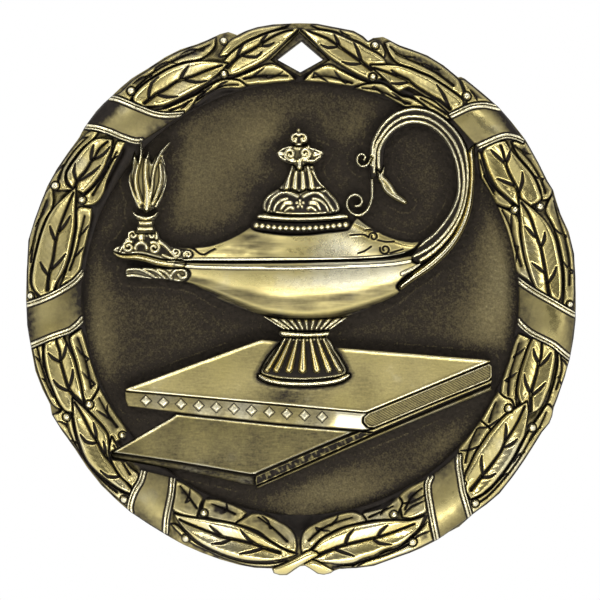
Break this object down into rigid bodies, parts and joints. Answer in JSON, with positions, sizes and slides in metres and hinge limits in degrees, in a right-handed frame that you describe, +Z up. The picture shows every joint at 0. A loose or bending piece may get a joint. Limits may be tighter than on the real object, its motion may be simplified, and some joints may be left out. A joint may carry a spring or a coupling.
{
  "type": "medal",
  "caption": "Round antique-gold award medal: laurel wreath with ribbon bands around a recessed field bearing an oil lamp on stacked books, with an opening at the top for a ribbon ring.",
  "frame": {"origin": "where the axis of the hanging opening meets the medal's flat back", "axes": "+Z up as the medal hangs, from the medal's centre to the hanging opening; +Y out of the flat back; the face looks along -Y; +X to the viewer's right"},
  "size_m": [0.0507, 0.004, 0.051],
  "materials": {
    "antique_gold": "antique gold plate, polished high spots",
    "patinated_relief": "antique gold plate with dark patina in the recesses",
    "patinated_field": "stippled, dark patina"
  },
  "bodies": {
    "root": {"band_lower_left": "antique_gold", "band_lower_right": "antique_gold", "band_middle_left": "antique_gold", "band_middle_right": "antique_gold", "band_upper_left": "antique_gold", "band_upper_right": "antique_gold", "berries_left": "antique_gold", "berries_right": "antique_gold", "field_plate": "patinated_field", "handle_loop": "antique_gold", "handle_rib": "antique_gold", "handle_scrolls": "antique_gold", "handle_spur": "antique_gold", "hanger_eye": "antique_gold", "inner_leaves_left": "patinated_relief", "inner_leaves_right": "patinated_relief", "lamp_bowl": "antique_gold", "lamp_cover": "antique_gold", "lamp_flame": "antique_gold", "leaf_left_1": "antique_gold", "leaf_left_2": "antique_gold", "leaf_left_3": "antique_gold", "leaf_left_4": "antique_gold", "leaf_left_5": "antique_gold", "leaf_left_6": "antique_gold", "leaf_left_7": "antique_gold", "leaf_right_1": "antique_gold", "leaf_right_2": "antique_gold", "leaf_right_3": "antique_gold", "leaf_right_4": "antique_gold", "leaf_right_5": "antique_gold", "leaf_right_6": "antique_gold", "leaf_right_7": "antique_gold", "lid_bead_ring": "antique_gold", "lid_dome": "antique_gold", "lid_finial": "antique_gold", "lid_neck": "antique_gold", "lid_ring": "antique_gold", "lower_book_board": "antique_gold", "lower_book_cover": "antique_gold", "lower_book_pages": "antique_gold", "lower_book_spine": "antique_gold", "outer_leaves_left": "patinated_relief", "outer_leaves_right": "patinated_relief", "pedestal_bell": "antique_gold", "pedestal_collar": "antique_gold", "pedestal_foot": "antique_gold", "pedestal_ring": "antique_gold", "spout_leaf": "antique_gold", "spout_lip": "antique_gold", "spout_scrollwork": "antique_gold", "stem_left": "antique_gold", "stem_right": "antique_gold", "upper_book_board": "antique_gold", "upper_book_cover": "antique_gold", "upper_book_pages": "antique_gold", "upper_book_spine": "antique_gold", "wick_cup": "antique_gold", "wreath_bed": "patinated_relief"}
  },
  "joints": []
}
